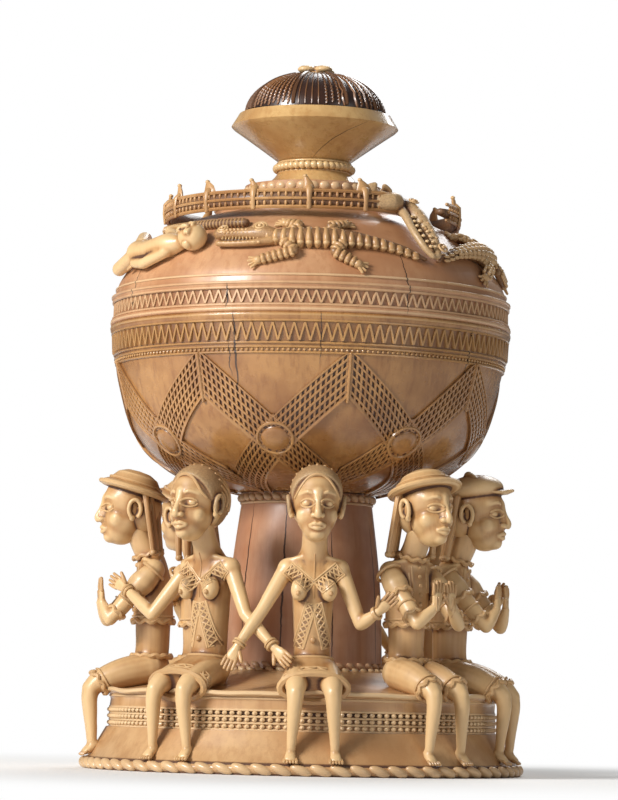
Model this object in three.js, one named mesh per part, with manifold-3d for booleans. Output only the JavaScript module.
// An ivory salt cellar: eight seated figures on a round plinth carry a bowl, under a domed lid with a finial.
// Millimetres, +Z up, origin at the middle of the foot.
// Azimuth 0 is the front, along -Y, and grows towards +X.
import * as THREE from "three";
import { mergeVertices } from "three/addons/utils/BufferGeometryUtils.js";
import Module from "manifold-3d";

const wasm = await Module();
wasm.setup();

// Fits between pieces
const CARVED_GAP = 0.3; // between carved parts that lie against one another
const SEAT_GAP = 0.3; // under a piece that is seated for good
const TENON_PLAY = 0.3; // round a tenon in its socket
const TENON_END_ROOM = 0.5; // below the end of a tenon
const LID_PLAY = 0.4; // round the lid's flange in the mouth of the bowl
const CAP_PLAY = 0.4; // round the dark cap in the finial's cup

// Plinth
const BORDER_RADIUS = 74.8; // out to the rope border at the foot
const BORDER_HEIGHT = 3.7;
const BORDER_ROUNDING = 1.3;
const FOOT_WIDTH = 8.8; // of the flat ring that it stands on
const FLARE_SPREAD = 9.6; // from the top of the flare out to the border
const FLARE_HEIGHT = 10.5;
const FLARE_HOLLOW = 0.6; // how far the flare curves in from a straight cone
const DOT_BAND_HEIGHT = 7.8;
const DOT_BAND_TAPER = 0.8;
const PLINTH_LIP = 0.7;
const PLINTH_LIP_HEIGHT = 2.3;
const SEAT_SETBACK = 2.7; // from the top of the flare in to the edge of the sloping seat
const SEAT_EDGE_HEIGHT = 1.0;
const SEAT_RISE = 8.7; // from the edge of the seat up to the drum
const PLINTH_WALL = 8.0;

// Drum
const DRUM_FOOT_RADIUS = 28.2;
const DRUM_FOOT_HEIGHT = 2.4;
const DRUM_BASE_RADIUS = 26.5;
const DRUM_MIDDLE_RADIUS = 25.3;
const DRUM_TOP_RADIUS = 22.0;
const DRUM_HEIGHT = 53.3; // between its two rope rings
const COLLAR_RADIUS = 23.5;
const COLLAR_HEIGHT = 3.0;
const BORE_RADIUS = 16.0; // the tusk's own hollow

// Bowl
const BOWL_TENON_LENGTH = 6.0;
const BOWL_FOOT_RADIUS = 24.0;
const BOWL_MOUTH_RADIUS = 66.8;
const BOWL_BELLY_SETBACKS = [21.8, 8.8, 2.8]; // in from the mouth, on the way up to it
const BOWL_BELLY_HEIGHTS = [6.5, 19.0, 37.0]; // of those places over the bowl's foot
const BOWL_CURVE_HEIGHT = 49.7;
const BOWL_BAND_HEIGHT = 2.9; // straight stretch that ends the zigzag band
const BOWL_RIM_HEIGHT = 2.7;
const RIM_PROUD = 0.9;
const BOWL_WALL = 5.0;

// Lid
const FLANGE_DEPTH = 5.0;
const FLANGE_WIDTH = 3.0;
const LID_RIM_HEIGHT = 2.5;
const LID_BAND_SETBACK = 0.4; // in from the face of the bowl at its mouth
const LID_BAND_HEIGHT = 5.2;
const LID_RING_HEIGHT = 2.3;
const LID_DOME_SETBACKS = [1.6, 6.4, 12.4, 17.9, 26.4, 33.4]; // in from the band, up to the platform
const LID_DOME_HEIGHTS = [5.0, 12.0, 18.1, 22.5, 26.2, 28.4]; // of those places over the dome's edge
const LID_WALL = 5.0;
const PLATFORM_STEP = 2.0;
const NECK_BASE_RADIUS = 26.0;
const NECK_BASE_RISE = 2.0;
const NECK_RADIUS = 22.0;
const NECK_RISE = 2.6;
const LID_TOP_RADIUS = 23.3;
const LID_TOP_HEIGHT = 3.9;

// Finial
const FINIAL_TENON_RADIUS = 8.0;
const FINIAL_TENON_LENGTH = 8.0;
const FINIAL_FOOT_RADIUS = 16.4;
const FINIAL_NECK_RADIUS = 11.5;
const FINIAL_NECK_HEIGHT = 4.2;
const FINIAL_COLLAR_RADIUS = 14.0;
const FINIAL_COLLAR_HEIGHT = 3.9;
const CUP_RADIUS = 28.4;
const CUP_HEIGHT = 12.6;
const CUP_SWELL = 1.6; // how far its side curves out from a straight cone
const CUP_LIP_RADIUS = 25.9;
const CUP_LIP_HEIGHT = 4.0;
const CUP_WALL = 1.7; // at the lip
const CAP_SEAT_DEPTH = 6.0;
const CAP_DOME_HEIGHT = 14.6;
const ROSETTE_RADIUS = 7.2;
const ROSETTE_NOTCH = 0.28; // depth of the notches between its petals, as a share of its radius
const ROSETTE_PETALS = 4;
const ROSETTE_PROUD = 2.7; // over the top of the cap

// Seated figures
const FIGURE_SETBACK = 23.8; // from the rope border in to the axis of each trunk
const FIGURE_HEIGHT = 72; // from the seat to the top of the head
const HEAD_FORWARD = 9; // how far the head juts out in front of the trunk
const CHEST_HALF_WIDTH = 6.9;
const TRUNK_HALF_DEPTH = 6.4;
const WAIST_HALF_WIDTH = 6.0;
const HIP_HALF_WIDTH = 6.8;
const NECK_HALF_WIDTH = 4.4;
const HEAD_HALF_WIDTH = 8.1;
const HEAD_HALF_DEPTH = 9.4;
const HAIR_PROUD = 0.7; // of the hair or hat over the brow
const SHOULDER_REACH = 9.0; // from the middle of the figure to each shoulder joint
const ARM_HALF_WIDTH = 3.0;
const ELBOW_HALF_WIDTH = 2.4;
const HAND_HALF_WIDTH = 2.9;
const THIGH_HALF_WIDTH = 4.2;
const KNEE_HALF_WIDTH = 3.0;
const ANKLE_HALF_WIDTH = 2.0;
const FOOT_HALF_WIDTH = 2.4;
const KNEE_SPREAD = 6.2; // from the middle of the figure to each knee
const FOOT_SPREAD = 7.8;
const HEM_HALF_WIDTH = 10.6;
const PUFF_HALF_WIDTH = 4.2; // of a puffed sleeve at the shoulder
const BREECHES_HALF_WIDTH = 5.6;
const HAT_BRIM_RADIUS = 11.8;
const CAP_BRIM_RADIUS = 10.2;
const HAT_BRIM_HALF_THICKNESS = 1.6;
const HAT_TILT = 16; // degrees, up at the front

// Carved creatures on the lid
const CROCODILE_HALF_WIDTH = 4.3;
const CROCODILE_LIFT = 1.6; // of its backbone over the dome
const CROCODILE_LEG_HALF_WIDTH = 2.0;
const VICTIM_HEAD_HALF_WIDTH = 5.6;
const VICTIM_TRUNK_HALF_WIDTH = 4.8;
const VICTIM_LIMB_HALF_WIDTH = 2.5;
const VICTIM_LIFT = 1.8;
const SERPENT_SETBACK = 19.4; // from the lid's band in to its body
const SERPENT_HALF_WIDTH = 3.9;
const SERPENT_LIFT = 2.6;
const SERPENT_FIN_HEIGHT = 4.6;

// Facets
const LARGE_FACETS = 36;
const SMALL_FACETS = 24;
const LIMB_SIDES = 5;
const TRUNK_SIDES = 8;
const MERGE_DISTANCE = 1e-4;
const DEGREE = Math.PI / 180;

// Radii that follow from others
const flareTopRadius = BORDER_RADIUS - FLARE_SPREAD;
const bandTopRadius = flareTopRadius - DOT_BAND_TAPER;
const seatRadius = flareTopRadius - SEAT_SETBACK;
const figureRadius = BORDER_RADIUS - FIGURE_SETBACK;
const mouthRadius = BOWL_MOUTH_RADIUS - BOWL_WALL;
const lidBandRadius = BOWL_MOUTH_RADIUS - LID_BAND_SETBACK;
const platformRadius = lidBandRadius - LID_DOME_SETBACKS.at(-1);
const serpentRadius = lidBandRadius - SERPENT_SETBACK;
const capRadius = CUP_LIP_RADIUS - CUP_WALL - CAP_PLAY;

// Levels, from the foot up
const flareTop = BORDER_HEIGHT + FLARE_HEIGHT;
const bandTop = flareTop + DOT_BAND_HEIGHT;
const lipTop = bandTop + PLINTH_LIP_HEIGHT;
const seatEdge = lipTop + SEAT_EDGE_HEIGHT;
const plinthTop = seatEdge + SEAT_RISE;
const drumFoot = plinthTop + CARVED_GAP;
const drumBase = drumFoot + DRUM_FOOT_HEIGHT;
const drumCrown = drumBase + DRUM_HEIGHT;
const collarTop = drumCrown + COLLAR_HEIGHT;
const bowlFoot = collarTop + SEAT_GAP;
const bowlCurveTop = bowlFoot + BOWL_CURVE_HEIGHT;
const bowlBandTop = bowlCurveTop + BOWL_BAND_HEIGHT;
const mouth = bowlBandTop + BOWL_RIM_HEIGHT; // where the lid rests on the rim
const lidRimTop = mouth + LID_RIM_HEIGHT;
const lidBandTop = lidRimTop + LID_BAND_HEIGHT;
const domeFoot = lidBandTop + LID_RING_HEIGHT;
const platform = domeFoot + LID_DOME_HEIGHTS.at(-1);
const neckBase = platform + PLATFORM_STEP + NECK_BASE_RISE;
const lidTopFoot = neckBase + NECK_RISE;
const lidTop = lidTopFoot + LID_TOP_HEIGHT;
const finialFoot = lidTop + SEAT_GAP;
const finialNeck = finialFoot + FINIAL_NECK_HEIGHT;
const cupFoot = finialNeck + FINIAL_COLLAR_HEIGHT;
const cupEdge = cupFoot + CUP_HEIGHT;
const cupLip = cupEdge + CUP_LIP_HEIGHT;
const cupFloor = cupLip - CAP_SEAT_DEPTH;
const capTop = cupLip + CAP_DOME_HEIGHT;

// Outlines are lists of [radius, height].

// A smooth outline through the given points.
function smooth(points, steps) {
  const curve = new THREE.SplineCurve(points.map(([r, z]) => new THREE.Vector2(r, z)));
  return curve.getPoints(steps).map((p) => [p.x, p.y]);
}

// A bow from one point to another, whose middle stands off the chord to its left by the given distance.
function bow([r0, z0], [r1, z1], off, steps) {
  const long = Math.hypot(r1 - r0, z1 - z0);
  const points = [];
  for (let i = 0; i <= steps; i++) {
    const t = i / steps;
    const rise = 4 * t * (1 - t) * off;
    points.push([
      r0 + (r1 - r0) * t - ((z1 - z0) / long) * rise,
      z0 + (z1 - z0) * t + ((r1 - r0) / long) * rise,
    ]);
  }
  return points;
}

// An outline moved to its left by a distance, as the inner face of a wall is, with half as many points.
function inset(points, distance) {
  const moved = points.map(([r, z], i) => {
    const [r0, z0] = points[Math.max(i - 1, 0)];
    const [r1, z1] = points[Math.min(i + 1, points.length - 1)];
    const long = Math.hypot(r1 - r0, z1 - z0);
    return [r - ((z1 - z0) / long) * distance, z + ((r1 - r0) / long) * distance];
  });
  return moved.filter((_, i) => i % 2 === 0 || i === moved.length - 1);
}

// The height of an outline where it passes a radius.
function heightAt(points, radius) {
  for (let i = 1; i < points.length; i++) {
    const [r0, z0] = points[i - 1];
    const [r1, z1] = points[i];
    if ((r0 - radius) * (r1 - radius) <= 0 && r0 !== r1) {
      return z0 + ((radius - r0) / (r1 - r0)) * (z1 - z0);
    }
  }
  return points.at(-1)[1];
}

// The radius of an outline where it passes a height.
function radiusAt(points, height) {
  return heightAt(
    points.map(([r, z]) => [z, r]),
    height,
  );
}

// Solids

// A closed geometry as a solid that can be joined and cut.
function solid(geometry) {
  const bare = geometry.clone();
  bare.deleteAttribute("normal");
  bare.deleteAttribute("uv");
  const merged = mergeVertices(bare, MERGE_DISTANCE);
  const corners = merged.index.array;
  const faces = [];
  for (let i = 0; i < corners.length; i += 3) {
    const [a, b, c] = corners.slice(i, i + 3);
    if (a !== b && b !== c && c !== a) faces.push(a, b, c);
  }
  const vertProperties = merged.attributes.position.array;
  return new wasm.Manifold(new wasm.Mesh({ numProp: 3, vertProperties, triVerts: new Uint32Array(faces) }));
}

function joined(solids) {
  return solids.reduce((whole, next) => whole.add(next));
}

// A turned solid, from an outline that starts and ends on the axis or closes on itself.
function turned(outline, facets = LARGE_FACETS, azimuth = 0) {
  const points = outline.map(([r, z]) => new THREE.Vector2(r, z));
  return solid(new THREE.LatheGeometry(points, facets).rotateX(Math.PI / 2).rotateZ(azimuth * DEGREE));
}

// An ellipsoid, which may be tipped up at its front by an angle.
function ellipsoid([x, y, z], [halfX, halfY, halfZ], around = 8, along = 6, tilt = 0) {
  const geometry = new THREE.SphereGeometry(1, around, along).rotateX(Math.PI / 2).scale(halfX, halfY, halfZ);
  return solid(geometry.rotateX(-tilt * DEGREE).translate(x, y, z));
}

// A closed tube through stations [x, y, z, half width, half depth], with rounded ends.
function tube(stations, sides = LIMB_SIDES) {
  const places = stations.map(([x, y, z]) => new THREE.Vector3(x, y, z));
  const wide = stations.map((s) => s[3]);
  const deep = stations.map((s) => s[4] ?? s[3]);
  const last = places.length - 1;
  const along = places.map((_, i) =>
    new THREE.Vector3().subVectors(places[Math.min(i + 1, last)], places[Math.max(i - 1, 0)]).normalize(),
  );
  const END_REACH = 0.55;
  const END_SHRINK = 0.74;
  const END_TIP = 0.85;
  const thin = (i) => Math.min(wide[i], deep[i]);
  const beyond = (i, reach) => places[i].clone().addScaledVector(along[i], reach * thin(i));
  const rings = [[beyond(0, -END_REACH), along[0], wide[0] * END_SHRINK, deep[0] * END_SHRINK]];
  places.forEach((place, i) => rings.push([place, along[i], wide[i], deep[i]]));
  rings.push([beyond(last, END_REACH), along[last], wide[last] * END_SHRINK, deep[last] * END_SHRINK]);

  const first = along[0];
  const across = Math.abs(first.x) < 0.8 ? new THREE.Vector3(1, 0, 0) : new THREE.Vector3(0, 1, 0);
  const vertices = [];
  for (const [place, direction, halfWide, halfDeep] of rings) {
    across.addScaledVector(direction, -across.dot(direction)).normalize();
    const inward = new THREE.Vector3().crossVectors(direction, across);
    for (let j = 0; j < sides; j++) {
      const turn = (2 * Math.PI * (j + 0.5)) / sides;
      const corner = place.clone();
      corner.addScaledVector(across, halfWide * Math.cos(turn));
      corner.addScaledVector(inward, halfDeep * Math.sin(turn));
      vertices.push(...corner.toArray());
    }
  }
  const start = vertices.length / 3;
  vertices.push(...beyond(0, -END_TIP).toArray(), ...beyond(last, END_TIP).toArray());
  const faces = [];
  const topRing = (rings.length - 1) * sides;
  for (let j = 0; j < sides; j++) {
    const next = (j + 1) % sides;
    for (let ring = 0; ring < topRing; ring += sides) {
      faces.push(ring + j, ring + next, ring + sides + next);
      faces.push(ring + j, ring + sides + next, ring + sides + j);
    }
    faces.push(start, next, j, start + 1, topRing + j, topRing + next);
  }
  const geometry = new THREE.BufferGeometry();
  geometry.setAttribute("position", new THREE.Float32BufferAttribute(vertices, 3));
  geometry.setIndex(faces);
  return solid(geometry);
}

// Plinth, drum and bowl

const flare = bow(
  [BORDER_RADIUS - BORDER_ROUNDING, BORDER_HEIGHT],
  [flareTopRadius, flareTop],
  FLARE_HOLLOW,
  4,
);
const plinthOutside = [
  [BORDER_RADIUS - BORDER_ROUNDING, 0],
  [BORDER_RADIUS, BORDER_HEIGHT * 0.3],
  [BORDER_RADIUS, BORDER_HEIGHT * 0.7],
  ...flare,
  [bandTopRadius, bandTop],
  [bandTopRadius + PLINTH_LIP, bandTop + PLINTH_LIP],
  [bandTopRadius + PLINTH_LIP, lipTop - PLINTH_LIP],
  [seatRadius, seatEdge],
  [DRUM_FOOT_RADIUS, plinthTop],
];
const plinthInside = [
  [BORE_RADIUS, plinthTop],
  [BORE_RADIUS, plinthTop - PLINTH_WALL],
  [flareTopRadius - PLINTH_WALL, seatEdge - PLINTH_WALL],
  [BORDER_RADIUS - FOOT_WIDTH, 0],
];
const basePlinth = turned([...plinthOutside, ...plinthInside, plinthOutside[0]]);

const drumSide = smooth(
  [
    [DRUM_BASE_RADIUS, drumBase],
    [DRUM_MIDDLE_RADIUS, drumBase + DRUM_HEIGHT / 2],
    [DRUM_TOP_RADIUS, drumCrown],
  ],
  5,
);
const drumOutside = [
  [DRUM_FOOT_RADIUS, drumFoot],
  [DRUM_FOOT_RADIUS, drumBase],
  ...drumSide,
  [COLLAR_RADIUS, drumCrown + COLLAR_HEIGHT * 0.3],
  [COLLAR_RADIUS, collarTop],
];
const drumBore = [
  [BORE_RADIUS, collarTop],
  [BORE_RADIUS, drumFoot],
];
const drum = turned([...drumOutside, ...drumBore, drumOutside[0]], SMALL_FACETS);

const bowlCurve = smooth(
  [
    [BOWL_FOOT_RADIUS, bowlFoot],
    ...BOWL_BELLY_SETBACKS.map((inward, i) => [BOWL_MOUTH_RADIUS - inward, bowlFoot + BOWL_BELLY_HEIGHTS[i]]),
    [BOWL_MOUTH_RADIUS, bowlCurveTop],
  ],
  8,
);
const bowlInside = inset(bowlCurve, BOWL_WALL);
const bowlTenonRadius = BORE_RADIUS - TENON_PLAY;
const bowl = turned([
  [0, bowlFoot - BOWL_TENON_LENGTH],
  [bowlTenonRadius, bowlFoot - BOWL_TENON_LENGTH],
  [bowlTenonRadius, bowlFoot],
  ...bowlCurve,
  [BOWL_MOUTH_RADIUS, bowlBandTop],
  [BOWL_MOUTH_RADIUS + RIM_PROUD, bowlBandTop + RIM_PROUD],
  [BOWL_MOUTH_RADIUS + RIM_PROUD, mouth],
  [mouthRadius, mouth],
  ...bowlInside.reverse(),
  [0, bowlFoot + BOWL_WALL],
]);

// Lid and finial

const dome = smooth(
  [
    [lidBandRadius, domeFoot],
    ...LID_DOME_SETBACKS.map((inward, i) => [lidBandRadius - inward, domeFoot + LID_DOME_HEIGHTS[i]]),
  ],
  8,
);
const domeInside = inset(dome, LID_WALL);
const flangeRadius = mouthRadius - LID_PLAY;
const lidRimRadius = BOWL_MOUTH_RADIUS + RIM_PROUD;
const lidNeck = [
  [platformRadius, platform + PLATFORM_STEP],
  [NECK_BASE_RADIUS, neckBase],
  [NECK_RADIUS, lidTopFoot],
  [LID_TOP_RADIUS, lidTopFoot + LID_TOP_RADIUS - NECK_RADIUS],
  [LID_TOP_RADIUS, lidTop],
];
const socketRadius = FINIAL_TENON_RADIUS + TENON_PLAY;
const socketFloor = finialFoot - FINIAL_TENON_LENGTH - TENON_END_ROOM;
const lid = turned([
  [0, platform - LID_WALL],
  ...domeInside.reverse(),
  [flangeRadius - FLANGE_WIDTH, mouth],
  [flangeRadius - FLANGE_WIDTH, mouth - FLANGE_DEPTH],
  [flangeRadius, mouth - FLANGE_DEPTH],
  [flangeRadius, mouth],
  [lidRimRadius, mouth],
  [lidRimRadius, lidRimTop - RIM_PROUD],
  [lidBandRadius, lidRimTop],
  [lidBandRadius, lidBandTop],
  [lidBandRadius + RIM_PROUD, lidBandTop + RIM_PROUD],
  [lidBandRadius + RIM_PROUD, domeFoot - RIM_PROUD / 2],
  ...dome,
  ...lidNeck,
  [socketRadius, lidTop],
  [socketRadius, socketFloor],
  [0, socketFloor],
]);

const cupSide = bow([FINIAL_NECK_RADIUS, cupFoot], [CUP_RADIUS, cupEdge], -CUP_SWELL, 4);
const finialCup = turned(
  [
    [0, finialFoot - FINIAL_TENON_LENGTH],
    [FINIAL_TENON_RADIUS, finialFoot - FINIAL_TENON_LENGTH],
    [FINIAL_TENON_RADIUS, finialFoot],
    [FINIAL_FOOT_RADIUS, finialFoot],
    [FINIAL_NECK_RADIUS, finialNeck],
    [FINIAL_COLLAR_RADIUS, finialNeck + FINIAL_COLLAR_HEIGHT * 0.2],
    [FINIAL_COLLAR_RADIUS, cupFoot - FINIAL_COLLAR_HEIGHT * 0.2],
    ...cupSide,
    [CUP_LIP_RADIUS, cupLip],
    [CUP_LIP_RADIUS - CUP_WALL, cupLip],
    [CUP_LIP_RADIUS - CUP_WALL, cupFloor],
    [0, cupFloor],
  ],
  SMALL_FACETS,
);

// The domed top of the dark cap, grown by a gap where something is carved against it.
function capDome(gap) {
  const points = [];
  const steps = 6;
  for (let i = 0; i <= steps; i++) {
    const turn = (i / steps) * 90 * DEGREE;
    points.push([(capRadius + gap) * Math.cos(turn), cupLip + (CAP_DOME_HEIGHT + gap) * Math.sin(turn)]);
  }
  points.at(-1)[0] = 0;
  return points;
}
const capFoot = cupFloor + SEAT_GAP;
const finialCap = turned([[0, capFoot], [capRadius, capFoot], ...capDome(0)], SMALL_FACETS);

function rosette() {
  const steps = 6 * ROSETTE_PETALS;
  const outline = [];
  for (let i = 0; i < steps; i++) {
    const turn = (2 * Math.PI * i) / steps;
    const radius = ROSETTE_RADIUS * (1 - ROSETTE_NOTCH * Math.abs(Math.sin((ROSETTE_PETALS / 2) * turn)));
    outline.push(new THREE.Vector2(radius * Math.cos(turn), radius * Math.sin(turn)));
  }
  const depth = 2 * ROSETTE_PROUD;
  const petals = new THREE.ExtrudeGeometry(new THREE.Shape(outline), { depth, bevelEnabled: false });
  petals.translate(0, 0, capTop + ROSETTE_PROUD - depth);
  return solid(petals).subtract(turned([[0, cupLip], ...capDome(CARVED_GAP)], SMALL_FACETS));
}

// What carved parts are cut back from, grown by the gap, as outlines
const grown = ([r, z]) => [r + CARVED_GAP, z + CARVED_GAP];
const plinthRoom = [
  [0, 0],
  [BORDER_RADIUS + CARVED_GAP, 0],
  ...plinthOutside.slice(1).map(grown),
  [0, plinthTop + CARVED_GAP],
];
const bowlRoom = [
  [0, bowlFoot - CARVED_GAP],
  ...bowlCurve.map(([r, z]) => [r + CARVED_GAP, z - CARVED_GAP]),
  [0, bowlCurveTop],
];
const lidRoom = turned([
  [0, mouth],
  [lidRimRadius, mouth],
  ...[...dome, ...lidNeck].map(grown),
  [0, lidTop],
]);

// Seated figures
// In a figure's own frame +X is to the right for someone who looks at it, and it faces along -Y.

const seatTop = heightAt(plinthOutside, figureRadius);
const level = (share) => seatTop + share * FIGURE_HEIGHT; // from the seat, 0, to the top of the head, 1
const outward = (distance) => -figureRadius - distance;

function trunk() {
  return tube(
    [
      [0, outward(0.6), level(0.05), HIP_HALF_WIDTH, TRUNK_HALF_DEPTH],
      [0, outward(0), level(0.15), WAIST_HALF_WIDTH, TRUNK_HALF_DEPTH - 0.4],
      [0, outward(0), level(0.42), CHEST_HALF_WIDTH, TRUNK_HALF_DEPTH],
      [0, outward(0.4), level(0.535), SHOULDER_REACH - 0.4, TRUNK_HALF_DEPTH - 1.6],
      [0, outward(1.6), level(0.59), NECK_HALF_WIDTH + 0.6, NECK_HALF_WIDTH + 0.2],
      [0, outward(HEAD_FORWARD - 2.6), level(0.69), NECK_HALF_WIDTH, NECK_HALF_WIDTH],
    ],
    TRUNK_SIDES,
  );
}

// The head, with close hair or the crown of a hat from the brow up.
function head() {
  const face = (distance) => outward(HEAD_FORWARD + distance);
  const egg = tube(
    [
      [0, face(2.4), level(0.67), HEAD_HALF_WIDTH * 0.58, HEAD_HALF_DEPTH * 0.54],
      [0, face(0.6), level(0.74), HEAD_HALF_WIDTH * 0.93, HEAD_HALF_DEPTH * 0.88],
      [0, face(0), level(0.85), HEAD_HALF_WIDTH, HEAD_HALF_DEPTH],
      [0, face(-0.3), level(0.885), HEAD_HALF_WIDTH + HAIR_PROUD, HEAD_HALF_DEPTH + HAIR_PROUD],
      [0, face(-0.5), level(0.93), HEAD_HALF_WIDTH * 0.82, HEAD_HALF_DEPTH * 0.82],
    ],
    TRUNK_SIDES,
  );
  const nose = tube(
    [
      [0, face(HEAD_HALF_DEPTH - 0.4), level(0.83), 0.9],
      [0, face(HEAD_HALF_DEPTH + 0.4), level(0.77), 1.6],
    ],
    3,
  );
  return egg.add(nose);
}

// One leg: over the edge of the seat to the knee, then down to the toes on the rope border; side is -1 or 1.
function leg(side, thigh) {
  const knee = BORDER_RADIUS - KNEE_HALF_WIDTH - 0.3;
  const ankle = BORDER_RADIUS - ANKLE_HALF_WIDTH - 3.2;
  const toes = BORDER_RADIUS - FOOT_HALF_WIDTH - 0.1;
  return tube([
    [side * (KNEE_SPREAD - 2.2), outward(3), level(0.07), thigh],
    [side * (KNEE_SPREAD - 0.4), -knee + 5, lipTop + 4.6, thigh - 0.4],
    [side * KNEE_SPREAD, -knee, lipTop + 1.4, KNEE_HALF_WIDTH],
    [side * FOOT_SPREAD, -ankle, BORDER_HEIGHT + 6, ANKLE_HALF_WIDTH],
    [side * (FOOT_SPREAD + 0.4), -toes, BORDER_HEIGHT + 1.5, FOOT_HALF_WIDTH, FOOT_HALF_WIDTH * 0.75],
  ]);
}

// One arm from the shoulder by its elbow to its hand, each given as [across, outward, share of the height].
function arm(side, shoulder, elbow, hand) {
  const place = ([x, out, share]) => [side * x, outward(out), level(share)];
  return tube([
    [side * SHOULDER_REACH, outward(0.4), level(0.535), shoulder],
    [...place(elbow), ELBOW_HALF_WIDTH],
    [...place(hand), HAND_HALF_WIDTH],
  ]);
}

// A skirt from the waist out over both thighs, to its hem behind the knees.
function skirt() {
  return tube(
    [
      [0, outward(0.6), level(0.1), WAIST_HALF_WIDTH + 0.8, TRUNK_HALF_DEPTH + 0.4],
      [0, outward(6), level(0.06), HEM_HALF_WIDTH - 1.4, TRUNK_HALF_DEPTH],
      [0, outward(13.6), level(0.01), HEM_HALF_WIDTH, TRUNK_HALF_DEPTH - 1.4],
    ],
    TRUNK_SIDES,
  );
}

function ears() {
  const ear = (side) =>
    ellipsoid([side * HEAD_HALF_WIDTH, outward(HEAD_FORWARD - 1), level(0.8)], [1.6, 2.6, 3.6], 5, 3);
  return ear(-1).add(ear(1));
}

// The brim of a hat, and the hair that falls from under it behind the ears.
function brimAndHair(brimRadius) {
  const brim = ellipsoid(
    [0, outward(HEAD_FORWARD - 0.6), level(0.895)],
    [brimRadius, brimRadius, HAT_BRIM_HALF_THICKNESS],
    10,
    3,
    HAT_TILT,
  );
  const lock = (side) =>
    tube([
      [side * (HEAD_HALF_WIDTH - 0.4), outward(HEAD_FORWARD - 4), level(0.86), 2.4],
      [side * (HEAD_HALF_WIDTH + 0.4), outward(HEAD_FORWARD - 5.4), level(0.62), 2.0],
    ]);
  return joined([brim, lock(-1), lock(1)]);
}

// What each kind of figure wears, and how thick its clothes make the shoulders and thighs.
const KINDS = {
  woman: {
    shoulder: ARM_HALF_WIDTH,
    thigh: THIGH_HALF_WIDTH,
    worn: () => [skirt(), ears()],
  },
  hattedMan: {
    shoulder: PUFF_HALF_WIDTH,
    thigh: BREECHES_HALF_WIDTH,
    worn: () => [brimAndHair(HAT_BRIM_RADIUS)],
  },
  cappedMan: {
    shoulder: PUFF_HALF_WIDTH,
    thigh: BREECHES_HALF_WIDTH,
    worn: () => [brimAndHair(CAP_BRIM_RADIUS)],
  },
};

// Elbow and hand of an arm, as [across, outward, share of the height].
const ARMS = {
  prayer: [[9.2, 15.2, 0.286], [4.4, 17.8, 0.44]],
  lowered: [[13.6, 2, 0.33], [16.5, 6, 0.14]],
  reaching: [[15.6, 4, 0.29], [20.6, 7, 0.36]],
  stretched: [[16.6, 9, 0.3], [27.5, 11.5, 0.43]],
};

// The arms are the ones on the left and on the right for someone who looks at the figure.
const FIGURES = [
  { name: "man_at_left", azimuth: -84, kind: "hattedMan", left: "prayer", right: "prayer" },
  { name: "woman_at_left", azimuth: -37, kind: "woman", left: "stretched", right: "lowered" },
  { name: "woman_in_front", azimuth: 3, kind: "woman", left: "lowered", right: "reaching" },
  { name: "man_at_right", azimuth: 41, kind: "hattedMan", left: "prayer", right: "prayer" },
  { name: "capped_man_at_right", azimuth: 72, kind: "cappedMan", left: "prayer", right: "prayer" },
  { name: "woman_behind_right", azimuth: 122, kind: "woman", left: "stretched", right: "lowered" },
  { name: "woman_behind", azimuth: 173, kind: "woman", left: "lowered", right: "reaching" },
  { name: "man_behind_left", azimuth: 225, kind: "hattedMan", left: "prayer", right: "prayer" },
];

function figure({ kind, left, right, azimuth }) {
  const { shoulder, thigh, worn } = KINDS[kind];
  const body = joined([
    trunk(),
    head(),
    leg(-1, thigh),
    leg(1, thigh),
    arm(-1, shoulder, ...ARMS[left]),
    arm(1, shoulder, ...ARMS[right]),
    ...worn(),
  ]);
  const plinthHere = turned(plinthRoom, LARGE_FACETS, -azimuth);
  const bowlHere = turned(bowlRoom, LARGE_FACETS, -azimuth);
  return body.subtract(plinthHere).subtract(bowlHere);
}

// Creatures on the lid

// A point over the dome at an azimuth and a share of the dome's rise, stood off from its face.
function onDome(azimuth, share, lift) {
  const height = domeFoot + share * LID_DOME_HEIGHTS.at(-1);
  const radius = radiusAt(dome, height) + lift * Math.SQRT1_2;
  const turn = azimuth * DEGREE;
  return [radius * Math.sin(turn), -radius * Math.cos(turn), height + lift * Math.SQRT1_2];
}

// A crocodile that lies along the dome from its snout to its tail, both azimuths.
function crocodile(snout, tail) {
  const at = (share) => snout + (tail - snout) * share;
  const RISES = [0.423, 0.444, 0.458, 0.458, 0.444, 0.423, 0.387];
  const SHARES = [0.03, 0.14, 0.26, 0.45, 0.62, 0.8, 0.98];
  const SWELL = [0.5, 0.85, 0.78, 1, 0.92, 0.6, 0.3];
  const LEGS = [
    [0.28, 0.669, 0.18],
    [0.3, 0.141, 0.2],
    [0.58, 0.669, 0.68],
    [0.6, 0.141, 0.7],
  ];
  const spine = tube(
    SHARES.map((share, i) => [
      ...onDome(at(share), RISES[i], CROCODILE_LIFT),
      CROCODILE_HALF_WIDTH * SWELL[i],
    ]),
  );
  const legs = LEGS.map(([root, rise, tip]) =>
    tube([
      [...onDome(at(root), 0.44, CROCODILE_LIFT), CROCODILE_LEG_HALF_WIDTH],
      [...onDome(at(tip), rise, CROCODILE_LIFT / 2), CROCODILE_LEG_HALF_WIDTH],
    ]),
  );
  return joined([spine, ...legs]).subtract(lidRoom);
}

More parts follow.
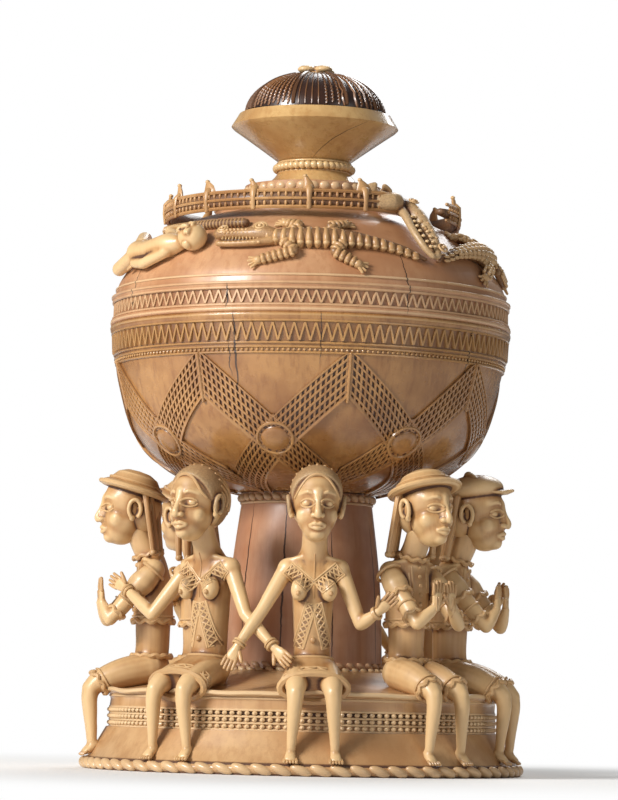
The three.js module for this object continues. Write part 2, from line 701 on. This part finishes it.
// A person lying along the dome from the head to the feet, both azimuths.
function victim(crown, feet) {
  const at = (share) => crown + (feet - crown) * share;
  const face = ellipsoid(onDome(at(0.08), 0.405, VICTIM_LIFT + 1), Array(3).fill(VICTIM_HEAD_HALF_WIDTH));
  const body = tube([
    [...onDome(at(0.16), 0.37, VICTIM_LIFT), VICTIM_TRUNK_HALF_WIDTH * 0.6],
    [...onDome(at(0.28), 0.352, VICTIM_LIFT), VICTIM_TRUNK_HALF_WIDTH],
    [...onDome(at(0.45), 0.317, VICTIM_LIFT), VICTIM_TRUNK_HALF_WIDTH * 0.8],
    [...onDome(at(0.6), 0.317, VICTIM_LIFT), VICTIM_TRUNK_HALF_WIDTH],
  ]);
  const limb = (...stops) =>
    tube(
      stops.map(([share, rise]) => [...onDome(at(share), rise, VICTIM_LIFT), VICTIM_LIMB_HALF_WIDTH]),
      4,
    );
  return joined([
    face,
    body,
    limb([0.26, 0.458], [0.4, 0.634], [0.28, 0.704]),
    limb([0.28, 0.211], [0.42, 0.127], [0.56, 0.134]),
    limb([0.6, 0.387], [0.76, 0.528], [0.94, 0.44]),
    limb([0.6, 0.246], [0.78, 0.176], [0.96, 0.211]),
  ]).subtract(lidRoom);
}

// A serpent round the platform from its tail to its head, which hangs down the dome.
function serpent() {
  const TAIL = 62;
  const NECK = 396;
  const STEPS = 18;
  const FINS = 7;
  const ringHeight = heightAt(dome, serpentRadius) + SERPENT_LIFT;
  const around = (azimuth, radius, height) => {
    const turn = azimuth * DEGREE;
    return [radius * Math.sin(turn), -radius * Math.cos(turn), height];
  };
  const stations = [];
  for (let i = 0; i <= STEPS; i++) {
    const share = i / STEPS;
    const swell = Math.min(1, 0.35 + 5 * share);
    stations.push([
      ...around(TAIL + (NECK - TAIL) * share, serpentRadius, ringHeight),
      SERPENT_HALF_WIDTH * swell,
    ]);
  }
  const hanging = [
    [0.704, 1.0],
    [0.546, 1.15],
    [0.335, 0.8],
  ];
  for (const [rise, swell] of hanging) {
    stations.push([...onDome(NECK + 2, rise, SERPENT_LIFT + 1.4), SERPENT_HALF_WIDTH * swell]);
  }
  const fins = [];
  for (let i = 0; i < FINS; i++) {
    const azimuth = TAIL + (NECK - TAIL) * ((i + 1) / (FINS + 1));
    const fin = new THREE.ConeGeometry(3, SERPENT_FIN_HEIGHT + SERPENT_HALF_WIDTH, 4).rotateX(Math.PI / 2);
    const lift = (SERPENT_FIN_HEIGHT + SERPENT_HALF_WIDTH) / 2;
    fins.push(solid(fin.translate(...around(azimuth, serpentRadius, ringHeight + lift))));
  }
  return joined([tube(stations), ...fins]).subtract(lidRoom);
}

const CREATURES = [
  { name: "crocodile_in_front", made: () => crocodile(-31, 36) },
  { name: "crocodile_at_left", made: () => crocodile(-91, -150) },
  { name: "crocodile_at_right", made: () => crocodile(101, 41) },
  { name: "crocodile_behind", made: () => crocodile(157, 206) },
  { name: "victim_at_left", made: () => victim(-35, -87) },
  { name: "victim_at_right", made: () => victim(105, 153) },
  { name: "serpent", made: serpent },
];

// Finishes
const FINISHES = {
  ivory: { color: 0xd8c59a, roughness: 0.42 },
  goldenIvory: { color: 0xc9b27c, roughness: 0.4 },
  tanIvory: { color: 0xbb8f72, roughness: 0.45 },
  amberIvory: { color: 0xbd8a52, roughness: 0.36 },
  darkStain: { color: 0x2b1710, roughness: 0.3 },
};

function piece(name, shape, finish) {
  const { vertProperties, triVerts } = shape.getMesh();
  const geometry = new THREE.BufferGeometry();
  geometry.setAttribute("position", new THREE.BufferAttribute(vertProperties, 3));
  geometry.setIndex(new THREE.BufferAttribute(triVerts, 1));
  geometry.computeVertexNormals();
  const material = new THREE.MeshStandardMaterial({ ...FINISHES[finish], metalness: 0 });
  const mesh = new THREE.Mesh(geometry, material);
  mesh.name = name;
  return mesh;
}

const base = new THREE.Group();
base.add(piece("base_plinth", basePlinth, "ivory"));
base.add(piece("drum", drum, "tanIvory"));
base.add(piece("bowl", bowl, "amberIvory"));
for (const who of FIGURES) {
  const mesh = piece(who.name, figure(who), "goldenIvory");
  mesh.rotation.z = who.azimuth * DEGREE;
  base.add(mesh);
}

const cover = new THREE.Group();
cover.add(piece("lid", lid, "amberIvory"));
cover.add(piece("finial_cup", finialCup, "ivory"));
cover.add(piece("finial_cap", finialCap, "darkStain"));
cover.add(piece("rosette", rosette(), "goldenIvory"));
for (const { name, made } of CREATURES) cover.add(piece(name, made(), "goldenIvory"));

const saltCellar = new THREE.Group();
saltCellar.add(base, cover);

export default saltCellar;
